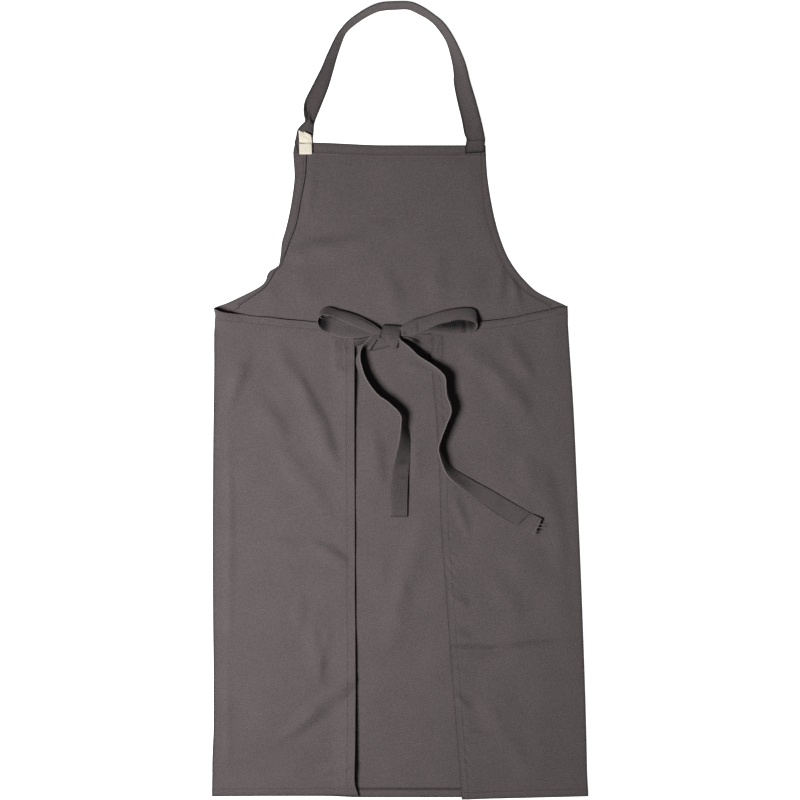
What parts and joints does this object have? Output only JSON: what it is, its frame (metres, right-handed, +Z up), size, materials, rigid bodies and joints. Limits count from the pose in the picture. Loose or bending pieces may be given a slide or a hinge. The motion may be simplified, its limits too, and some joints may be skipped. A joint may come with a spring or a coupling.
{
  "type": "bib apron",
  "caption": "Wrap-around bib apron laid flat with its inside up: hemmed cloth with both back panels folded over, arched neck strap, waist ties in a bow and a blank label.",
  "frame": {"origin": "on the floor under the middle of the apron's bounding box", "axes": "+Y from the bottom hem to the neck strap, +X to the right as seen from above, +Z up from the floor, out of the apron's inside"},
  "size_m": [0.5111, 1.0837, 0.0311],
  "materials": {
    "cloth": "plain dark warm grey cotton twill, matte",
    "strap": "the same dark grey twill folded and sewn into flat straps, matte",
    "label": "cream woven tape, bare"
  },
  "bodies": {
    "root": {"apron_body": "cloth", "neck_strap": "strap", "waist_tie_left": "strap", "waist_tie_right": "strap", "corner_label": "label"}
  },
  "joints": []
}
